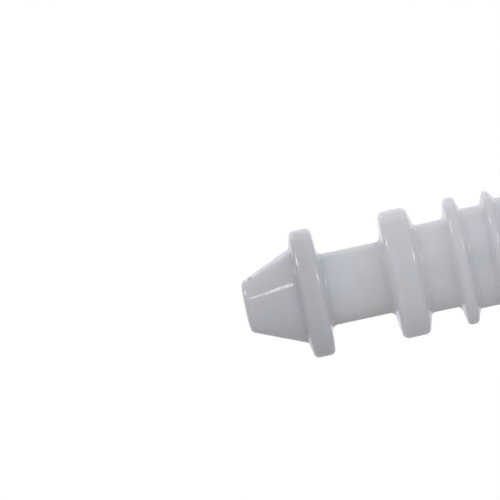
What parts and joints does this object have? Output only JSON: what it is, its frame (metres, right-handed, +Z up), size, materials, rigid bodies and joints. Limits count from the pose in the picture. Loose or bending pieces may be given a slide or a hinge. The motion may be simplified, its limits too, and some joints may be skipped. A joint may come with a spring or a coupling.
{
  "type": "expanding wall anchor",
  "caption": "Ringed nylon wall plug with a conical nose, a slot between two spreading legs and a head flange, with its pan-head screw and flat washer.",
  "frame": {"origin": "centre of the flange's underside, on the plug's axis, in the plane of the wall's surface", "axes": "+X out of the wall along the plug's axis, towards the screw's head; +Z up in the plane of the slot; +Y to the rear leg"},
  "size_m": [0.0544, 0.0104, 0.0104],
  "materials": {
    "nylon": "natural milky nylon, satin moulded surface",
    "screw_steel": "bright zinc-plated steel",
    "washer_steel": "zinc-plated steel, stamped and tumbled"
  },
  "bodies": {
    "sleeve": {"plug_sleeve": "nylon"},
    "front_leg": {"leg_front": "nylon"},
    "rear_leg": {"leg_rear": "nylon"},
    "washer": {"washer": "washer_steel"},
    "screw": {"screw": "screw_steel"}
  },
  "joints": [
    {"name": "screw_advance", "type": "slide", "parent": "sleeve", "child": "washer", "axis": [-1, 0, 0], "range_m": [0, 0.0188]},
    {"name": "screw_turn", "type": "hinge", "parent": "washer", "child": "screw", "pos_m": [0, 0, 0], "axis": [-1, 0, 0], "range_deg": [0, 4231]},
    {"name": "front_leg_spread", "type": "hinge", "parent": "sleeve", "child": "front_leg", "pos_m": [-0.0115, -0.0025, 0], "axis": [0, 0, 1], "range_deg": [0, 2.52]},
    {"name": "rear_leg_spread", "type": "hinge", "parent": "sleeve", "child": "rear_leg", "pos_m": [-0.0115, 0.0025, 0], "axis": [0, 0, -1], "range_deg": [0, 2.52]}
  ],
  "couplings": [
    {"joint": "screw_turn", "follows": "screw_advance", "rad_per_m": 3927},
    {"joint": "front_leg_spread", "follows": "screw_advance", "rad_per_m": 2.3209},
    {"joint": "rear_leg_spread", "follows": "screw_advance", "rad_per_m": 2.3209}
  ]
}
